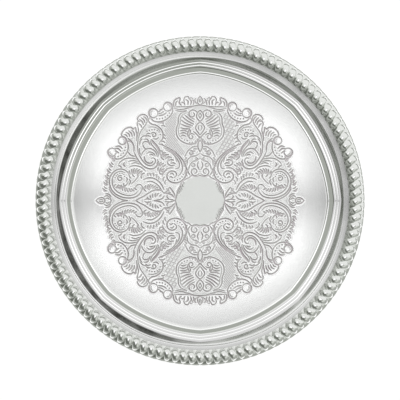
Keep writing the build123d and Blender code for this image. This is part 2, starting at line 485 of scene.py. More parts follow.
def silver_material(name, clean, skin, recess, roughness, turning=0.0, wear=0.05, riser_shade=0.0):
    """Bright plate: clean colour, a darker skin where the mark named by recess says (tarnish in engraved
    grooves, painted shade on the rim and the border), smudges, and lathe lines whose sides slope by turning
    degrees. The last argument is painted shade that darkens the floor towards the riser."""
    material = bpy.data.materials.new(name)
    material.use_nodes = True
    tree = material.node_tree
    shader = tree.nodes["Principled BSDF"]
    place = tree.nodes.new("ShaderNodeTexCoord").outputs["Object"]
    marks = tree.nodes.new("ShaderNodeGroup")
    marks.node_tree = handling
    skin_marks = tree.nodes.new("ShaderNodeGroup")
    skin_marks.node_tree = tarnish_and_shade
    tree.links.new(place, marks.inputs["Place"])
    tree.links.new(place, skin_marks.inputs["Place"])
    skin_marks.inputs["Clean"].default_value = (*clean, 1.0)
    skin_marks.inputs["Skin"].default_value = (*skin, 1.0)
    hollow = tree.nodes.new("ShaderNodeAttribute")
    hollow.attribute_name = recess
    tree.links.new(hollow.outputs["Fac"], skin_marks.inputs["Recess"])
    dulled = mix_colour(tree, math_node(tree, "MULTIPLY", marks.outputs["Smudge"], wear),
                        skin_marks.outputs["Color"], (0.80, 0.80, 0.79))
    # Painted shade: the floor is darkened towards the riser.
    if riser_shade:
        level = vector_node(tree, "MULTIPLY", place, (1.0, 1.0, 0.0)).outputs[0]
        distance = vector_node(tree, "LENGTH", level)
        riser_shade_mix = fitted(tree, distance.outputs["Value"], 98 * MM, 116 * MM, 0.0, riser_shade)
        dulled = mix_colour(tree, riser_shade_mix, dulled, (0.45, 0.46, 0.45))
    tree.links.new(dulled, shader.inputs["Base Color"])
    shader.inputs["Metallic"].default_value = 1.0
    rougher = math_node(tree, "MULTIPLY_ADD", skin_marks.outputs["Amount"], 0.10, roughness)
    tree.links.new(math_node(tree, "MULTIPLY_ADD", marks.outputs["Smudge"], 0.03, rougher),
                   shader.inputs["Roughness"])
    tree.links.new(marks.outputs["Normal"], shader.inputs["Normal"])
    if turning:
        turned = tree.nodes.new("ShaderNodeGroup")
        turned.node_tree = turning_lines
        turned.inputs["Slope"].default_value = math.tan(math.radians(turning))
        tree.links.new(place, turned.inputs["Place"])
        tree.links.new(marks.outputs["Normal"], turned.inputs["Normal"])
        tree.links.new(turned.outputs["Normal"], shader.inputs["Normal"])
    return material


# The rim's darker skin is near black: painted shade on the wall, the ledge, its outer corner and the
# underside.
polished_silver = silver_material("polished_silver", (0.955, 0.96, 0.95), (0.08, 0.08, 0.075), "recess", 0.07)
turned_silver = silver_material("turned_silver", (0.97, 0.975, 0.97), (0.40, 0.37, 0.38), "groove", 0.10, 6.5,
                                riser_shade=0.45)

rim_mesh, rim_data = rolled_piece("plate_rim", rim_steps, len(section), rim_place)
rim = finish_mesh(rim_mesh, rim_data)
rim_data.materials.append(polished_silver)
rim_data.materials.append(turned_silver)
floor_marks = np.empty(len(rim_data.vertices))
rim_data.attributes["on_floor"].data.foreach_get("value", floor_marks)
for face in rim_data.polygons:
    face.material_index = int(all(floor_marks[index] > 0.5 for index in face.vertices))
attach(rim, "root")
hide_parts("tray_plate")


# ---- The engraved well ----
# The middle of the same sheet, in four quarters. Rococo scrollwork is chased and engraved round a plain
# disc: cut lines, punched dots, leaf cuts and a matted panel. Each quarter is the last one turned over.

cell = 0.14        # spacing of the height map the drawing is cut into, in millimetres
margin = 3.0
reach = 101.0
cells = int((reach + margin) / cell)
groove = np.zeros((cells, cells))
cut_paths = []


def flowing(points):
    """Points every tenth of a millimetre or so along a smooth curve through the given ones."""
    points = np.array(points, float)
    padded = np.vstack((2 * points[:1] - points[1:2], points, 2 * points[-1:] - points[-2:-1]))
    run = []
    for before, start, end, after in zip(padded, padded[1:], padded[2:], padded[3:]):
        t = np.linspace(0, 1, max(3, int(np.linalg.norm(end - start) / 0.12)), endpoint=False)[:, None]
        run.append(0.5 * (2 * start + (end - before) * t + (2 * before - 5 * start + 4 * end - after) * t**2
                          + (3 * start - before - 3 * end + after) * t**3))
    return np.vstack(run + [points[-1:]])


def cut(path, half_widths, depth=1.0):
    """Presses a round-bottomed groove along a path into the height map."""
    window = int(np.max(half_widths) / cell) + 2
    shift = np.arange(-window, window + 1)
    grid_x = np.floor((path[:, 0] + margin) / cell).astype(int)[:, None, None] + shift[None, None, :]
    grid_y = np.floor((path[:, 1] + margin) / cell).astype(int)[:, None, None] + shift[None, :, None]
    away_x = (grid_x + 0.5) * cell - margin - path[:, 0, None, None]
    away_y = (grid_y + 0.5) * cell - margin - path[:, 1, None, None]
    share = (away_x**2 + away_y**2) / np.asarray(half_widths)[:, None, None] ** 2
    pressed = depth * np.clip(1 - share, 0, 1)
    grid_x, grid_y = (np.broadcast_to(grid, pressed.shape) for grid in (grid_x, grid_y))
    inside = (grid_x >= 0) & (grid_x < cells) & (grid_y >= 0) & (grid_y < cells) & (pressed > 0)
    np.maximum.at(groove, (grid_y[inside], grid_x[inside]), pressed[inside])
    cut_paths.append(path[::3])


def line(points, width=1.0, start=0.35, end=0.35, depth=1.0):
    """A line whose width swells in the middle: start and end are the shares of it left at the ends."""
    path = flowing(points)
    along = np.linspace(0, 1, len(path))
    taper = np.minimum(start + (1 - start) * np.sin(np.clip(along * 4, 0, 1) * np.pi / 2),
                       end + (1 - end) * np.sin(np.clip((1 - along) * 4, 0, 1) * np.pi / 2))
    cut(path, width / 2 * taper, depth)


def comma(start, bend, end, width=1.3, depth=1.0):
    """A short cut that starts broad and ends in a point, as a graver leaves it."""
    path = flowing((start, bend, end))
    along = np.linspace(0, 1, len(path))
    swell = np.sin(np.pi * np.clip(along * 0.9 + 0.10, 0, 1)) ** 0.6
    cut(path, width / 2 * np.maximum(swell, 0.22), depth)


def around(centre, radius, turn):
    """Points at a radius and at angles round a centre."""
    return np.column_stack((centre[0] + radius * np.cos(turn), centre[1] + radius * np.sin(turn)))


def curl(centre, start_radius, end_radius, start_angle, sweep, width=1.0, depth=1.0):
    """A spiral, in degrees, from its outside inwards."""
    turn = np.radians(start_angle + sweep * np.linspace(0, 1, max(6, int(abs(sweep) / 18))))
    radius = start_radius * (end_radius / start_radius) ** np.linspace(0, 1, len(turn))
    line(around(centre, radius, turn), width, 0.4, 0.8, depth)


def beads(points, count, size=1.1):
    """A row of round punch marks spread evenly along a curve."""
    path = flowing(points)
    for index in np.linspace(0, len(path) - 1, count).round().astype(int):
        cut(path[index : index + 1], np.array([size / 2 * 1.15]))


def ball(centre, radius, shade_angle, width=1.1):
    """A round knob: a ring that is cut broad on its shaded side, with a crescent inside it."""
    turn = np.linspace(0, 2 * np.pi, 200)
    shade = 0.5 + 0.5 * np.cos(turn - math.radians(shade_angle))
    cut(around(centre, radius, turn), width / 2 * (0.45 + 0.9 * shade), 0.95)
    inner = np.linspace(-1.0, 1.0, 40)
    crescent = around(centre, radius * 0.55, inner + math.radians(shade_angle))
    cut(crescent, width / 2 * (0.3 + 0.5 * np.cos(inner * 1.4)), 0.6)


def fronds(spine, count, length, lean, width=1.2, curve=0.25, taper=0.5, edge=True):
    """An acanthus edge: curved cuts that leave the spine at an angle, each with a lighter scallop back."""
    path = flowing(spine)
    ahead = np.gradient(path, axis=0)
    ahead /= np.linalg.norm(ahead, axis=1)[:, None]
    swing = math.radians(lean)
    turned_by = np.array(((math.cos(swing), -math.sin(swing)), (math.sin(swing), math.cos(swing))))
    spots = (np.linspace(0.03, 0.97, count) * (len(path) - 1)).astype(int)
    for number, index in enumerate(spots):
        size = length * (1 - taper * abs(2 * number / max(count - 1, 1) - 1) ** 1.5)
        out = turned_by @ ahead[index]
        side = np.array((-out[1], out[0])) * (1 if lean > 0 else -1)
        root = path[index] + out * 0.3
        tip = root + out * size
        comma(root, root + out * size * 0.5 - side * size * curve * 0.5, tip, width)
        if edge and number < count - 1:
            following = path[spots[number + 1]]
            bulge = (tip + following) / 2 + out * size * 0.30 - side * size * 0.10
            line([tip, bulge, following + out * size * 0.35], width * 0.6, 0.4, 0.4, 0.75)


# The edge of the plain disc and the small scrolls round it
line([(0, 23.6), (4, 22.7), (8, 23.4), (10, 21.6), (14.5, 19.4), (17.2, 16.8), (18.9, 13.2), (21.2, 9.6),
      (21.6, 6), (22.6, 2.4), (23.2, 0)], 1.0, 1, 1)
curl((5, 27.2), 4.6, 1.6, 200, 430, 1.0)
comma((9.5, 24), (11.5, 27.5), (10.5, 31.5), 1.2)
comma((12, 23), (14, 26), (13, 29.5), 1.2)
comma((0.8, 29), (2.5, 33), (1.2, 37), 1.2)
line([(0, 40), (3, 37.5), (6.5, 36.5), (9.5, 33), (10, 30)], 0.9)
line([(0, 44.5), (3.5, 42), (8, 41), (11.5, 38), (12.2, 33)], 1.0)
ball((6.3, 33.2), 1.5, 200, 0.8)
ball((3.6, 39.2), 1.0, 200, 0.7)
fronds([(15.5, 18.2), (19.6, 12.5), (21.6, 8)], 6, 4.0, -62, 0.9)
# Spiked leaves on the level axis, close to the disc
line([(22.8, 2.6), (24.6, 7.2), (28.5, 12.8)], 1.3, 0.4, 0.3)
line([(23.0, 2.2), (27, 5.6), (31.5, 7.0), (34, 6.6)], 1.3, 0.4, 0.3)
line([(28.5, 12.8), (30.2, 9.4), (33.5, 7)], 0.9)
fronds([(24, 3.5), (27.5, 8), (30, 11)], 5, 3.2, -48, 0.8, edge=False)
comma((29, 1.2), (31, 3.6), (30.2, 5.4), 1.3)
line([(23.4, 0.0), (28, 1.2), (33, 0.9)], 0.9)

# The cartouche on the upright axis
line([(24.6, 86.2), (18, 85.0), (11.5, 86.4), (5, 88.4), (0, 88.8)], 1.0, 0.6, 1)
line([(24.0, 84.6), (18, 83.3), (12, 84.2)], 0.8)
line([(12.5, 83.8), (17.6, 81.6), (20.2, 77.5), (20.6, 72), (22.3, 66.5), (21.6, 60.5), (18.4, 56.3),
      (13.5, 53.6), (9, 52.6), (4.6, 53.6), (1.6, 56.6), (0.6, 60)], 1.1, 0.5, 0.5)
line([(11.0, 82.6), (15.6, 80.6), (18.2, 77), (18.6, 72.5), (20.2, 66.5), (19.6, 61.5),
      (17, 58.2)], 0.7, 0.4, 0.4, 0.7)
curl((7.2, 80.6), 4.9, 1.7, 170, -400, 1.1)
comma((5.6, 73.6), (10.5, 76.6), (14.6, 80.4), 1.5)
comma((6.0, 71.4), (12.0, 74.6), (17.4, 79.0), 1.5)
comma((7.0, 69.8), (13.2, 72.2), (18.4, 75.8), 1.5)
comma((8.4, 68.4), (14.0, 69.8), (18.6, 72.0), 1.4)
comma((9.6, 67.0), (14.6, 67.0), (18.8, 68.4), 1.3)
line([(9.8, 66.8), (11.6, 62.6), (11.2, 59.4)], 1.2)
comma((11.8, 64.4), (15.0, 65.6), (18.6, 65.2), 1.3)
comma((12.4, 62.2), (15.4, 63.4), (19.0, 62.4), 1.3)
comma((13.0, 60.0), (15.8, 61.0), (18.4, 59.8), 1.2)
line([(4.6, 75.8), (9.2, 78.0), (12.0, 81.2)], 0.8)
line([(0, 84.5), (2.6, 81.5), (3.2, 78), (1.4, 75), (0, 74)], 1.1, 1, 1)
line([(0, 73.4), (2.6, 71.2), (4.2, 68.4), (3.4, 65.8), (0.2, 61.4)], 1.1, 1, 0.5)
line([(6.4, 64.8), (3.2, 62.0), (0.1, 58.6)], 1.1, 0.4, 1)
line([(0, 82), (1.2, 79.5), (0, 76.8)], 0.7, 1, 1)
comma((0.7, 70.6), (1.7, 68.2), (0.6, 65.4), 0.9)
curl((8.2, 59.6), 3.4, 1.2, 150, -400, 1.1)
fronds([(2.6, 58.2), (5.4, 55.6), (9.4, 54.8)], 4, 3.2, -62, 1.0, 0.3, 0.2)
beads([(12.0, 56.0), (14.6, 56.6), (16.8, 58.2)], 3, 1.2)
comma((9.6, 66.5), (9.0, 64.4), (9.8, 62.6), 1.3)
# Below the cartouche
line([(0.1, 56.8), (1.8, 53.6), (1.9, 49.4), (0.1, 45.4)], 1.1, 0.5, 0.5)
line([(2.6, 50.6), (6.5, 50.2), (11, 46.8), (13.4, 42.6)], 1.0, 0.5, 0.4)
fronds([(2.4, 48.6), (4.4, 46.0), (6.4, 41.4)], 4, 3.6, 58, 1.0, 0.3, 0.2)
curl((8.6, 44.6), 2.6, 1.0, 60, 380, 0.9)
fronds([(12.8, 43.5), (11.8, 38), (13.2, 32.5)], 5, 4.0, 60, 0.9)

# The crest at the end of the upright axis
line([(0, 97.6), (2.2, 94.2), (2.4, 91.4), (0.8, 89.6), (0, 89.2)], 1.2, 0.6, 1)
comma((0.4, 92), (0.9, 93.6), (0.3, 95.4), 0.9)
line([(2.6, 90.2), (4.6, 92.2), (4.8, 94.6), (3.4, 95.2)], 1.1)
comma((6.4, 89.6), (5.8, 92.6), (7.8, 94.6), 1.6)
comma((8.8, 89.4), (8.4, 93), (10.4, 95.2), 1.5)
comma((11.4, 89.6), (11.4, 93), (13.6, 94.6), 1.5)
line([(6.2, 94.8), (8.4, 96.0), (10.0, 95.2), (11.4, 97.2), (14, 96.6), (15.2, 94.0),
      (14.4, 92)], 1.0, 0.5, 0.5)
comma((14.2, 89.4), (15.4, 91.6), (17.8, 91.4), 1.5)
comma((17.6, 89.0), (19.4, 91.4), (19.0, 94.6), 1.6)
line([(24.4, 87.4), (24.9, 91), (23, 94.4), (19.2, 96), (18.6, 93.6)], 1.5, 0.5, 0.5)
comma((22.8, 88.4), (22.6, 91.2), (20.8, 93.4), 1.3)
line([(4.6, 88.8), (11, 87.7), (18, 87.6), (24.4, 87.4)], 0.9)

# First bead scroll with a knob at each end
ball((30.2, 87.6), 4.0, 135, 1.5)
ball((43.6, 81.6), 4.2, 20, 1.5)
line([(26.0, 86.8), (25.6, 83.4), (28.0, 78.8), (32.8, 75.0), (38.6, 73.4), (43.4, 74.4),
      (46.6, 77.4)], 1.3, 0.6, 0.6)
beads([(27.6, 84.2), (29.2, 81.0), (32.2, 78.2), (36.2, 76.6), (40.4, 76.4)], 7, 1.3)
line([(33.8, 86.4), (35.2, 86.2), (35.8, 84.9), (37.2, 84.8), (37.7, 83.4), (39.4, 83)], 1.2)
line([(31.2, 82.2), (34.5, 80.0), (38.8, 79.4)], 1.2, 0.4, 0.4)
line([(33.4, 83.6), (36, 81.8), (39.2, 81.2)], 0.9)

# Feathered tuft
line([(48.6, 76.6), (50.0, 79.2), (53.2, 80.4), (56.6, 79.2), (58.6, 76.2), (57.4, 74.6)], 1.2, 0.4, 0.4)
comma((49.6, 74.2), (50.6, 76.8), (53.0, 78.8), 1.2)
comma((51.4, 72.6), (52.6, 75.4), (55.2, 77.8), 1.3)
comma((53.0, 71.0), (54.2, 73.8), (57.0, 76.2), 1.3)
line([(55.2, 74.2), (57.8, 74.0), (58.8, 71.8), (58.2, 69.2)], 1.1)
comma((54.4, 68.4), (55.6, 70.6), (57.6, 72.2), 1.3)
line([(48.6, 76.6), (50.2, 72.0), (53.4, 67.4), (56.2, 63.0), (57.6, 58)], 1.0, 0.5, 0.4)
line([(58.2, 69.2), (57.6, 65.6), (58.6, 61.0), (59.4, 56)], 1.0, 0.5, 0.4)

# Curled leaf beside it
line([(59.4, 56), (59.0, 61), (60.0, 65.6), (60.4, 68.0), (62.6, 66.8), (64.4, 68.4), (68.4, 67.8),
      (71.8, 65.2), (73.4, 61.4), (72.0, 59.8)], 1.4, 0.5, 0.6)
comma((61.4, 60.6), (62.0, 63.6), (64.4, 66.2), 1.4)
comma((63.4, 60.0), (64.2, 62.8), (66.8, 65.4), 1.4)
comma((65.6, 59.6), (66.6, 62.2), (69.4, 64.0), 1.3)
comma((67.8, 59.4), (69.0, 61.2), (71.2, 61.8), 1.1)
line([(61.8, 45.6), (62.0, 51.0), (64.2, 55.4), (67.4, 58.2)], 1.5, 0.3, 0.6)
line([(63.6, 54.0), (66.0, 55.6), (68.0, 55.2)], 1.2)

# Second bead scroll with a knob at each end
ball((72.6, 56.0), 3.6, 170, 1.6)
ball((82.2, 45.2), 3.8, 320, 1.5)
line([(68.4, 56.4), (67.2, 51.6), (67.6, 46.8), (70.2, 42.2), (74.6, 39.2), (80.0, 38.9), (84.0, 40.6),
      (85.6, 43.2)], 1.2, 0.6, 0.6)
beads([(69.6, 49.8), (70.6, 46.0), (73.0, 43.0), (76.4, 41.2), (79.4, 41.0)], 6, 1.3)
comma((72.6, 48.6), (75.4, 50.8), (79.2, 50.4), 1.7)
comma((73.8, 46.2), (76.8, 48.6), (80.2, 48.6), 1.5)
comma((75.8, 44.4), (78.2, 46.0), (79.6, 46.2), 1.4)

# Small sprigs down the rim
for angle in (26.0, 22.2, 18.4, 14.6, 10.8, 7.0):
    swing = math.radians(angle)
    out = np.array((math.cos(swing), math.sin(swing)))
    up = np.array((-out[1], out[0]))
    root = out * 87.6
    comma(root - up * 1.6, root + out * 2.0 - up * 1.2, root + out * 4.4 + up * 0.6, 1.4)
    comma(root + up * 0.8, root + out * 1.6 + up * 0.9, root + out * 3.2 + up * 2.4, 1.2)
    comma(root - up * 2.6 + out * 0.8, root - up * 2.2 + out * 2.2, root - up * 1.0 + out * 3.8, 0.8)
# Fleuron at the end of the level axis
line([(97.2, 0), (94.4, 2.2), (91.2, 2.8), (89.4, 1.4), (89.0, 0)], 1.3, 0.6, 1)
comma((90.6, 0.6), (92.4, 1.1), (94.6, 0.4), 1.0)
line([(83.0, 0), (84.4, 3.2), (87.2, 4.6), (89.6, 3.4)], 1.1, 1, 0.4)
comma((83.0, 3.6), (85.4, 6.0), (88.8, 6.4), 1.4)
comma((84.6, 1.2), (86.4, 2.4), (88.4, 1.6), 1.2)

# The dotted scroll behind the panel
line([(47.0, 77.6), (48.2, 74.6), (45.6, 71.6), (40.8, 70.2), (36.6, 66.8), (34.6, 62.0), (35.2, 57.4),
      (38.0, 54.4)], 1.3, 0.5, 0.5)
line([(48.6, 68.6), (44.0, 68.8), (39.6, 67.4), (36.8, 64.0)], 0.8, 0.4, 0.4, 0.8)
beads([(37.2, 61.8), (38.8, 64.8), (42.0, 66.2), (45.8, 66.0), (49.6, 64.8)], 7, 1.35)
curl((43.2, 61.2), 2.9, 1.0, 20, 400, 1.1)
comma((38.6, 59.0), (41.0, 57.4), (44.0, 58.2), 1.3)
comma((46.8, 62.6), (48.8, 62.8), (50.4, 61.4), 1.3)
comma((46.2, 59.8), (48.8, 60.6), (51.0, 59.2), 1.2)
# Scalloped fringe between this scroll and the panel
for low in ((34.0, 71.6), (32.6, 69.0), (32.2, 60.4), (32.0, 57.4), (32.8, 54.2), (34.2, 51.6)):
    comma(low, (low[0] + 1.6, low[1] + 1.2), (low[0] + 3.6, low[1] + 0.8), 1.1)
line([(33.6, 73.0), (36.4, 73.6), (39.6, 72.8)], 1.0)

# The slim dark blade
line([(45.6, 57.2), (43.6, 54.6), (40.4, 51.0), (38.4, 47.4), (37.8, 43.4)], 2.5, 0.25, 0.25)
line([(46.4, 56.4), (45.4, 52.6), (41.8, 48.4), (39.4, 44.4), (38.6, 41.2)], 1.0)

# The great stem that comes down from the tufts and ends in a spiral
line([(57.8, 57.6), (58.4, 50.6), (57.6, 44.6), (54.6, 38.6), (50.6, 34.0), (46.4, 32.6), (42.8, 34.4),
      (41.6, 37.4), (43.2, 39.8), (45.8, 39.6)], 1.2, 0.5, 0.5)
line([(61.4, 45.0), (59.4, 40.4), (55.2, 34.4), (50.6, 30.8), (45.6, 29.6), (41.4, 31.2), (39.2, 35.0),
      (39.8, 38.8)], 1.3, 0.5, 0.4)
line([(52.2, 41.4), (51.4, 37.4), (48.4, 35.0), (45.2, 35.2), (44.0, 37.0)], 1.7, 0.3, 0.5)
line([(48.2, 60.6), (53.0, 60.2), (56.4, 57.0)], 1.0)
line([(46.4, 51.8), (48.6, 54.6), (52.0, 55.0), (54.0, 52.6)], 1.2)
comma((47.2, 53.8), (49.4, 57.2), (52.8, 57.4), 1.3)
comma((54.2, 57.6), (56.0, 55.2), (56.4, 51.8), 1.4)
comma((56.4, 48.8), (56.6, 45.6), (55.6, 42.4), 1.3)
line([(39.8, 41.0), (41.6, 45.4), (45.6, 48.4), (50.0, 48.2), (53.4, 45.2), (54.8, 42.0)], 1.2, 0.4, 0.4)
line([(41.6, 41.6), (43.8, 44.4), (47.2, 45.4), (50.0, 43.8)], 1.0)
comma((43.4, 42.2), (45.4, 43.2), (47.4, 42.6), 1.4)
comma((50.6, 48.0), (52.8, 50.2), (53.4, 52.6), 1.2)

# The long sweep from the dotted scroll round to the lower scroll
line([(38.6, 53.2), (31.6, 50.2), (23.6, 45.4), (16.8, 38.6), (13.2, 31.2), (13.0, 24.8), (16.0, 19.4),
      (21.6, 16.6), (27.2, 17.4), (30.8, 21.0), (30.2, 25.4), (26.6, 27.6), (23.0, 26.6), (22.0, 23.6),
      (24.0, 21.6)], 1.4, 0.5, 0.6)
line([(34.0, 49.6), (27.0, 46.4), (20.8, 41.0), (17.2, 34.8), (16.6, 29.0), (18.6, 24.6),
      (20.4, 23.0)], 1.2, 0.4, 0.5)
line([(22.6, 40.6), (19.6, 35.4), (19.8, 30.8), (23.0, 29.8)], 1.0, 0.4, 0.5)
beads([(15.6, 24.6), (17.2, 21.8), (20.0, 19.8), (23.8, 18.9)], 5, 1.3)
comma((24.4, 24.0), (26.2, 25.6), (28.0, 24.6), 1.2)
comma((25.4, 21.2), (27.4, 22.4), (28.4, 21.2), 1.2)
# Leaves inside the sweep
fronds([(22.6, 34.0), (24.4, 38.0), (29.0, 43.2), (35.6, 47.0)], 6, 6.2, -66, 1.4, 0.4, 0.35)
line([(21.8, 36.2), (23.2, 41.0), (27.0, 45.0), (32.0, 47.4)], 1.0)
line([(23.4, 33.2), (27.0, 32.6), (30.0, 34.4), (30.6, 37.2)], 1.2)
comma((31.6, 41.4), (34.2, 43.0), (35.4, 46.4), 1.4)
comma((33.6, 38.0), (36.2, 40.2), (36.6, 43.2), 1.3)
fronds([(31.4, 33.6), (35.2, 36.0), (38.6, 36.8)], 4, 4.6, -74, 1.2, 0.3, 0.2)
fronds([(30.6, 28.8), (34.6, 31.0), (38.6, 31.6)], 4, 4.4, -76, 1.1, 0.3, 0.2)
line([(24.4, 30.6), (29.6, 30.2), (33.6, 27.0), (35.4, 22.6)], 1.0)
curl((35.8, 26.4), 2.8, 1.0, 100, -380, 0.9)
comma((33.2, 22.2), (34.6, 20.4), (34.4, 18.0), 1.2)
comma((31.6, 19.2), (33.0, 17.2), (32.4, 15.0), 1.1)

# Leaf sprays between the spiral and the great oval
line([(60.4, 41.2), (64.6, 42.4), (67.4, 45.6)], 1.3)
line([(58.6, 38.6), (63.6, 39.6), (69.6, 39.2), (74.4, 36.2), (76.2, 33.6)], 1.1, 0.4, 0.4)
line([(57.6, 36.4), (62.6, 37.4), (67.2, 36.6)], 0.9)
line([(56.0, 34.0), (60.4, 35.4), (64.2, 34.4)], 0.9)
comma((70.0, 31.8), (71.4, 33.6), (70.6, 35.8), 1.7)
comma((73.2, 30.8), (74.6, 32.2), (76.6, 32.8), 1.4)
fronds([(51.2, 25.6), (56.0, 29.4), (61.8, 30.4), (66.8, 28.0)], 7, 5.2, -80, 1.4, 0.35, 0.3)
line([(50.6, 27.4), (55.4, 31.4), (61.8, 32.6), (66.6, 31.2)], 0.9)
fronds([(54.6, 20.4), (59.6, 22.2), (64.6, 20.6)], 4, 4.0, 74, 1.1, 0.3, 0.3, False)
line([(57.0, 24.0), (60.4, 19.0), (64.4, 15.4)], 0.9, 0.4, 0.4)

# The great oval scroll near the rim
line([(65.8, 22.0), (67.6, 26.4), (72.0, 29.2), (77.6, 28.8), (82.4, 24.8), (84.8, 18.6), (83.6, 12.0),
      (79.4, 6.6), (72.6, 3.2), (65.2, 2.4), (58.8, 4.2), (55.0, 8.4), (54.0, 12.8),
      (55.6, 15.2)], 1.3, 0.5, 0.5)
line([(70.0, 26.2), (74.6, 27.4), (79.4, 25.0), (82.0, 19.6), (81.2, 13.4), (77.6, 8.6), (71.6, 5.6),
      (65.6, 4.8), (60.6, 6.2), (57.6, 9.4)], 1.0, 0.4, 0.4)
line([(85.0, 12.2), (82.4, 7.0), (78.0, 3.4), (72.6, 0.9), (67.8, 0)], 1.1, 0.4, 1)
line([(83.8, 14.6), (84.6, 10.6), (83.2, 8.0)], 0.9)
beads([(70.4, 22.6), (71.6, 25.0), (74.4, 25.6), (77.4, 24.0), (79.4, 21.4)], 7, 1.1)
curl((74.6, 20.6), 3.0, 1.1, 120, -420, 1.1)
fronds([(71.4, 16.8), (74.6, 14.6), (78.6, 15.6)], 4, 3.8, -70, 1.1, 0.3, 0.2, False)
line([(66.6, 18.0), (69.6, 14.0), (74.4, 11.8), (79.4, 12.6)], 1.0)
fronds([(58.4, 10.4), (62.6, 8.4), (68.0, 8.0), (73.6, 9.8), (77.4, 12.6)], 8, 4.0, 70, 1.3, 0.35, 0.3)
comma((66.4, 14.6), (65.0, 17.6), (66.4, 20.4), 1.4)
comma((69.0, 17.4), (68.0, 20.0), (69.2, 22.2), 1.2)
line([(55.6, 15.2), (58.4, 14.6), (60.4, 12.2)], 1.0)
# Leaves along the rim side of the oval
comma((85.8, 20.4), (87.4, 18.0), (86.8, 15.4), 1.4)
comma((84.8, 26.2), (86.6, 24.4), (86.8, 21.8), 1.2)

# The lower run of leaves to the level axis
line([(33.6, 10.2), (37.0, 16.2), (42.4, 20.4), (48.4, 21.2), (53.0, 19.6)], 1.3, 0.4, 0.4)
line([(35.6, 9.6), (39.6, 14.6), (45.0, 17.8), (50.0, 17.6)], 1.0)
fronds([(36.4, 11.0), (41.0, 14.2), (46.4, 15.6), (51.0, 14.4)], 7, 4.4, -72, 1.2, 0.35, 0.3)
fronds([(38.4, 19.4), (43.2, 22.4), (48.8, 23.0)], 5, 3.4, 72, 1.1, 0.3, 0.3)
line([(33.8, 7.2), (36.6, 9.6), (42.0, 9.8), (47.2, 7.6), (52.0, 4.4), (56.4, 2.2), (60, 0)], 1.2, 0.4, 1)
fronds([(35.4, 5.6), (39.4, 7.4), (44.6, 6.6), (49.6, 3.6)], 6, 4.0, -76, 1.2, 0.3, 0.3, False)
line([(33.4, 4.6), (35.2, 2.0), (38.6, 0.8), (43, 0)], 1.1, 0.5, 1)
comma((46.0, 1.0), (49.0, 1.7), (52.0, 0.8), 1.2)
comma((50.4, 8.6), (52.4, 10.6), (52.0, 13.2), 1.4)
comma((47.2, 10.2), (49.2, 11.8), (49.4, 13.6), 1.2)

# Lighter lines follow every cut at even distances, as the chaser fills the ground between the scrolls.
cut_points = np.vstack(cut_paths)
over_upright = cut_points[cut_points[:, 0] < 6] * (-1, 1)
over_level = cut_points[cut_points[:, 1] < 6] * (1, -1)
cut_points = np.vstack((cut_points, over_upright, over_level))
nearest = np.full((cells, cells), 9.0)    # distance to the nearest cut; it only matters within 5 mm of one
spread = int(5.0 / cell)
for x, y in cut_points:
    column, row = int((x + margin) / cell), int((y + margin) / cell)
    columns = np.arange(max(column - spread, 0), min(column + spread, cells))
    rows = np.arange(max(row - spread, 0), min(row + spread, cells))
    if len(columns) and len(rows):
        away_x = (columns[None, :] + 0.5) * cell - margin - x
        away_y = (rows[:, None] + 0.5) * cell - margin - y
        window = nearest[rows[0] : rows[-1] + 1, columns[0] : columns[-1] + 1]
        np.minimum(window, np.hypot(away_x, away_y), out=window)
map_axis = (np.arange(cells) + 0.5) * cell - margin
map_x, map_y = np.meshgrid(map_axis, map_axis)
map_radius = np.hypot(map_x, map_y)
# How far out the scrollwork reaches, by angle from the level axis.
edge_angles = (0, 4, 10, 22, 30, 36, 42, 49, 55, 60, 66, 73, 80, 90)
edge_radii = (93, 88, 90, 90, 88, 88, 89, 86, 88, 83, 84, 87, 88, 92)
edge_radius = np.interp(np.degrees(np.arctan2(map_y, map_x)), edge_angles, edge_radii)
in_ornament = np.clip((edge_radius - map_radius) / 1.5, 0, 1) * np.clip((map_radius - 24.5) / 1.0, 0, 1)
fine = np.zeros((cells, cells))
# Distance from the cut, half width and depth of each following line
for gap, half_width, depth in ((1.7, 0.34, 0.34), (3.1, 0.32, 0.26)):
    fine = np.maximum(fine, depth * np.clip(1 - ((nearest - gap) / half_width) ** 2, 0, 1) * in_ornament)

# The matted panel between the cartouche and the long sweep: crossed lines in two quarters, a hatch in the
# other two.
panel = [(22.6, 83.2), (25.0, 81.4), (29.4, 75.8), (32.2, 72.4), (31.8, 68.4), (33.4, 65.4), (31.6, 61.0),
         (31.4, 55.4), (33.0, 51.8), (26.6, 48.4), (20.4, 43.4), (14.8, 42.6), (14.2, 46.0), (18.4, 50.6),
         (20.6, 55.2), (23.2, 60.4), (23.8, 66.4), (22.0, 72.4), (21.8, 78.2)]
in_panel = np.zeros((cells, cells), bool)
for (start_x, start_y), (end_x, end_y) in zip(panel, panel[1:] + panel[:1]):
    crosses = (start_y > map_y) != (end_y > map_y)
    in_panel ^= crosses & (map_x < start_x + (map_y - start_y) * (end_x - start_x) / (end_y - start_y + 1e-9))


def ruled(angle, spacing, width, depth):
    """Straight lines at an angle inside the panel."""
    offset = map_x * math.sin(math.radians(angle)) - map_y * math.cos(math.radians(angle))
    away = np.abs((offset / spacing) % 1.0 - 0.5) * spacing
    return depth * np.clip(1 - (away / (width / 2)) ** 2, 0, 1) * in_panel


clear_panel = np.where(in_panel, 0.0, fine)
trellis = np.maximum(clear_panel, np.maximum(ruled(58, 3.0, 1.0, 0.60), ruled(-20, 3.4, 1.0, 0.50)))
hatched = np.maximum(clear_panel, ruled(52, 1.55, 1.0, 0.60))

cut_depth = 0.17      # deepest cut
trough_depth = 0.07   # how far the metal is drawn down on both sides of a cut
trough_reach = 0.95
lip_height = 0.05     # the burr thrown up beside a cut
lip_offset = 1.05
lip_reach = 0.48
disc_radius = 22.8    # the plain disc in the middle
quarter_steps = 312


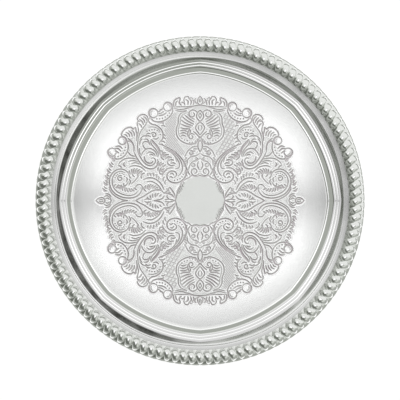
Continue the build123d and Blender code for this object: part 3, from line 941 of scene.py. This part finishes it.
def sampled(height_map, x, y):
    """A height map's value between its cells."""
    column = np.clip((x + margin) / cell - 0.5, 0, cells - 1.001)
    row = np.clip((y + margin) / cell - 0.5, 0, cells - 1.001)
    left, low = column.astype(int), row.astype(int)
    share_x, share_y = column - left, row - low
    near = height_map[low, left] * (1 - share_x) + height_map[low, left + 1] * share_x
    far = height_map[low + 1, left] * (1 - share_x) + height_map[low + 1, left + 1] * share_x
    return near * (1 - share_y) + far * share_y


# Painted shade: the plain disc's silver is a darker copy of the well's silver.
plain_disc_silver = silver_material(
    "spun_disc_silver", (0.81, 0.825, 0.805), (0.40, 0.37, 0.38), "groove", 0.32)
engraved_silver = silver_material(
    "engraved_silver", (0.97, 0.975, 0.97), (0.45, 0.40, 0.42), "groove", 0.10, 6.5)
# Painted light: the lips thrown up beside the cuts are painted white as a highlight, and the ground between
# them is painted a little grey as shade.
tree = engraved_silver.node_tree
clean_with_painted_light = (0.97, 0.975, 0.97)
for mark, colour, share in (("ornament", (0.74, 0.755, 0.735), 0.8), ("lip", (0.98, 0.98, 0.98), 0.9)):
    found = tree.nodes.new("ShaderNodeAttribute")
    found.attribute_name = mark
    clean_with_painted_light = mix_colour(tree, math_node(tree, "MULTIPLY", found.outputs["Fac"], share), clean_with_painted_light, colour)
skinned = [node for node in tree.nodes if "Clean" in node.inputs][0]
tree.links.new(clean_with_painted_light, skinned.inputs["Clean"])
quarters = ((1, 1, trellis), (-1, 1, hatched), (-1, -1, trellis), (1, -1, hatched))
for quarter, (flip_x, flip_y, ground) in enumerate(quarters, start=1):
    lines = np.maximum(groove, ground)
    draw_down = np.exp(-((nearest / trough_reach) ** 2)) + 0.5 * ground
    raised = np.exp(-(((nearest - lip_offset) / lip_reach) ** 2)) * (1 - np.clip(1.6 * lines, 0, 1))

    def quarter_place(column, row):
        """The square grid pressed into a quarter disc, and lowered where it is cut."""
        u, v = column / quarter_steps, row / quarter_steps
        x = field_radius * u * np.sqrt(1 - v * v / 2)
        y = field_radius * v * np.sqrt(1 - u * u / 2)
        depth = sampled(lines, x, y)
        lip = sampled(raised, x, y)
        height = sheet - cut_depth * depth - trough_depth * sampled(draw_down, x, y) + lip_height * lip
        at_edge = np.hypot(x, y) > field_radius - 0.5
        height = np.where(at_edge, sheet, height)
        # The lip mark paints a highlight on the burrs, and the ornament mark paints shade on the scrollwork's
        # ground.
        marks = {"groove": np.where(at_edge, 0, depth), "lip": np.where(at_edge, 0, lip)}
        marks["ornament"] = np.where(at_edge, 0, sampled(in_ornament, x, y))
        return np.column_stack((flip_x * x, flip_y * y, height)), marks

    piece_mesh, piece_data = rolled_piece(
        f"engraved_quarter_{quarter}", quarter_steps, quarter_steps, quarter_place)
    # The sheet's thickness: the rim of the grid is drawn down to the underside.
    edge_loop = [edge for edge in piece_mesh.edges if edge.is_boundary]
    drawn = bmesh.ops.extrude_edge_only(piece_mesh, edges=edge_loop)["geom"]
    for point in drawn:
        if isinstance(point, bmesh.types.BMVert):
            point.co.z = 0.0
    piece = finish_mesh(piece_mesh, piece_data)
    piece_data.materials.append(engraved_silver)
    piece_data.materials.append(plain_disc_silver)
    face_centres = np.empty(len(piece_data.polygons) * 3)
    piece_data.polygons.foreach_get("center", face_centres)
    face_centres = face_centres.reshape(-1, 3) / MM
    from_middle = np.hypot(face_centres[:, 0], face_centres[:, 1])
    on_disc = (from_middle < disc_radius) & (face_centres[:, 2] > sheet / 2)
    piece_data.polygons.foreach_set("material_index", on_disc.astype(int))
    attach(piece, "root")
    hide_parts("tray_plate")


# ---- The gadroon border ----
# Struck silver-plated mounts in four lengths, butted along the gap between two gadroons. Each gadroon is a
# slanted egg, arched over a low dome that shows only round its ends. The gaps carry a little painted shade.

length_count = 4
gadroons_per_length = 30
steps_per_gadroon = 32
slant = math.radians(27)
skirt_drop = 1.6
foot_height = 0.5
dome_crown = 3.1           # top of the dome between the gadroons, above the flange
channel_crown = 2.83       # top of the hollow under it, which the solder fills
gadroon_crown = 5.1
crown_depth = 0.37         # the gadroon's highest point, as a share of the border's width from its inner edge
inner_reach = 0.345        # how far the egg reaches to each side of it
outer_reach = 0.56
gadroon_breadth = 1.50     # half breadth of the whole egg against half the pitch: neighbours cut into it
top_points = 66
channel_points = 13
pitch = 2 * math.pi / (length_count * gadroons_per_length)
border_middle = border_inner_radius + border_width / 2
edge_notch = 0.30          # how far the outer edge draws in at each gap


def dome_height(across, half_width, foot, crown):
    """Height of a round-topped dome at a distance from its middle line."""
    ball = (half_width**2 + (crown - foot) ** 2) / (2 * (crown - foot))
    return crown - ball + np.sqrt(ball**2 - across**2)


# The points along the top lie closer together towards both edges.
steps = np.arange(top_points + 1)
depths = 0.5 * ((1 - np.cos(np.pi * steps / top_points)) / 2) + 0.5 * steps / top_points
border_section = [(border_inner_radius + border_width * depth, ledge_top, depth) for depth in depths]
border_section += [(outer_radius, ledge_top - skirt_drop, -1), (flange_radius, ledge_top - skirt_drop, -1),
                   (flange_radius, ledge_top, -1)]
channel_half = border_width / 2 - border_wall
for across in np.linspace(channel_half, -channel_half, channel_points):
    roof = ledge_top + dome_height(across, channel_half, foot_height, channel_crown)
    border_section.append((border_middle + across, roof, -1))
border_section += [(border_inner_radius + border_wall, ledge_top, -1), (border_inner_radius, ledge_top, -1)]
border_section = np.array(border_section)


def lean_angle(radius):
    """How far a slanted line through the middle of the border has swung at a radius."""
    along = -border_middle * math.cos(slant) + np.sqrt(radius**2 - (border_middle * math.sin(slant)) ** 2)
    return np.arctan2(along * math.sin(slant), border_middle + along * math.cos(slant))


def border_height(depth, beat):
    """Height above the flange and how deep in a gap the point is. depth is 0 at the inner foot and 1 at the
    outer edge, beat is -1 to 1 from gap to gap."""
    # The egg's length lies along its slant, so its ends are cut off square to it.
    swept = depth + beat * border_middle * pitch / 2 * math.sin(slant) * math.cos(slant) / border_width
    inward = np.clip((crown_depth - swept) / inner_reach, 0, 1)
    outward = np.clip((swept - crown_depth) / outer_reach, 0, 1)
    # Arched along its length, domed across, and blunter at the outer tip than at the inner.
    arch = np.clip(1 - inward**2 - outward**2, 0, 1)
    outline = 1 - inward**2 - outward**4 - (beat / gadroon_breadth) ** 2
    egg = gadroon_crown * np.sqrt(arch * np.clip(outline, 0, 1))
    ground = dome_height((depth - 0.5) * border_width, border_width / 2, foot_height, dome_crown)
    height = np.maximum(ground, egg)
    # Painted shade in the gaps, where the egg is low, and only on the inner part of the border.
    gap = 0.35 * np.clip(1 - (egg - ground) / 0.8, 0, 1) * np.clip((0.62 - depth) / 0.4, 0, 1) * beat**2
    return height, gap


def border_place(length):
    """Where the points of one length go."""
    def place(step, number):
        radius, height, depth = border_section[number % len(border_section)].T
        angle = pitch * step / steps_per_gadroon
        beat = 2 * ((step / steps_per_gadroon) % 1.0) - 1
        lifted, gap = border_height(np.clip(depth, 0, 1), beat)
        on_top = depth >= 0
        height = np.where(on_top, ledge_top + lifted, height)
        radius = radius - edge_notch * np.where(on_top, np.clip((depth - 0.85) / 0.15, 0, 1), 0) * beat**2
        turned_to = angle - pitch / 2 + lean_angle(radius) + length * 2 * math.pi / length_count
        points = np.column_stack((radius * np.cos(turned_to), radius * np.sin(turned_to), height))
        return points, {"recess": np.where(on_top, gap, 1.0)}
    return place


# The border's darker skin is painted shade: in the inner gaps, and all over the underside of each length.
struck_silver = silver_material("struck_silver", (0.975, 0.985, 0.97), (0.34, 0.35, 0.32), "recess", 0.10)
border_steps = gadroons_per_length * steps_per_gadroon
for length in range(length_count):
    length_mesh, length_data = rolled_piece(
        f"border_length_{length + 1}", border_steps, len(border_section), border_place(length))
    piece = finish_mesh(length_mesh, length_data, 60)
    length_data.materials.append(struck_silver)
    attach(piece, "root")
    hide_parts(f"gadroon_border_{length + 1}")


# ---- The solder inside the border ----
# A run of soft solder fills the hollow under each border length. The CAD's own pieces stay, in dull lead-grey
# metal: a grainy skin with small pits, dross freckles and a darker oxide in patches.

solder = bpy.data.materials.new("soft_solder")
solder.use_nodes = True
tree = solder.node_tree
shader = tree.nodes["Principled BSDF"]
place = tree.nodes.new("ShaderNodeTexCoord").outputs["Object"]
oxide = fitted(tree, noise_node(tree, place, 140.0, 5.0, 0.6), 0.38, 0.66, 0.0, 1.0)
dross = fitted(tree, noise_node(tree, place, 900.0, 2.0), 0.60, 0.70, 0.0, 0.8)
grain = noise_node(tree, place, 2600.0, 3.0, 0.6)
grey = mix_colour(tree, oxide, (0.46, 0.465, 0.47), (0.29, 0.295, 0.31))
tree.links.new(mix_colour(tree, dross, grey, (0.16, 0.15, 0.14)), shader.inputs["Base Color"])
shader.inputs["Metallic"].default_value = 1.0
tree.links.new(math_node(tree, "MULTIPLY_ADD", oxide, 0.18, 0.42), shader.inputs["Roughness"])
pitted = tree.nodes.new("ShaderNodeBump")
pitted.inputs["Strength"].default_value = 0.5
pitted.inputs["Distance"].default_value = 0.08 * MM
tree.links.new(math_node(tree, "MULTIPLY_ADD", dross, -0.7, grain), pitted.inputs["Height"])
tree.links.new(pitted.outputs[0], shader.inputs["Normal"])
for length in range(length_count):
    for material_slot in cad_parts[f"border_filling_{length + 1}"].material_slots:
        material_slot.material = solder


# ---- The scene's bounds ----

low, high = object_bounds()
